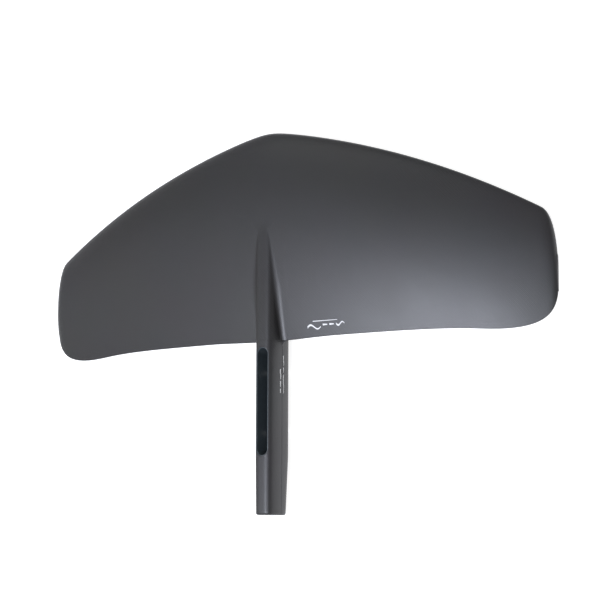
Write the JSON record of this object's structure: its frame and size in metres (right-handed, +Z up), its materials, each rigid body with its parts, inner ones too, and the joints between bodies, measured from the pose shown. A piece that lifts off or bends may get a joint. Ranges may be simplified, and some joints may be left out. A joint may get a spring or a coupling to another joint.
{
  "type": "hydrofoil front wing with fuselage",
  "caption": "Swept hydrofoil front wing moulded in one piece with a short fuselage, which has a long round-ended socket for a mast foot in its deck.",
  "frame": {"origin": "middle of the mast seat, which is the floor of the mast socket, half way between the two mast screws", "axes": "+Y forward along the fuselage to the nose, +X to the right wing tip, +Z up along the mast"},
  "size_m": [0.72, 0.4485, 0.0491],
  "materials": {
    "skin_laminate": "satin woven carbon under a thin clear coat",
    "solid_laminate": "pressed carbon laminate",
    "unidirectional_carbon": "unidirectional carbon strip",
    "foam_core": "closed cell foam, machined",
    "dense_core": "high density foam, machined",
    "socket_liner": "smooth moulded black",
    "bush_metal": "turned stainless steel",
    "insert_metal": "turned brass"
  },
  "bodies": {
    "root": {"upper_skin": "skin_laminate", "lower_skin": "skin_laminate", "leading_edge_left": "solid_laminate", "leading_edge_right": "solid_laminate", "front_core_left": "foam_core", "front_core_right": "foam_core", "nose_core": "dense_core", "spar_cap_upper": "unidirectional_carbon", "spar_cap_lower": "unidirectional_carbon", "spar_web": "solid_laminate", "rear_core_left": "foam_core", "rear_core_right": "foam_core", "trailing_edge_left": "solid_laminate", "trailing_edge_right": "solid_laminate", "fuselage_core": "dense_core", "keel_bar": "unidirectional_carbon", "mast_block": "solid_laminate", "socket_liner": "socket_liner", "mast_screw_bushes": "bush_metal", "tail_block": "solid_laminate", "tail_inserts": "insert_metal"}
  },
  "joints": []
}
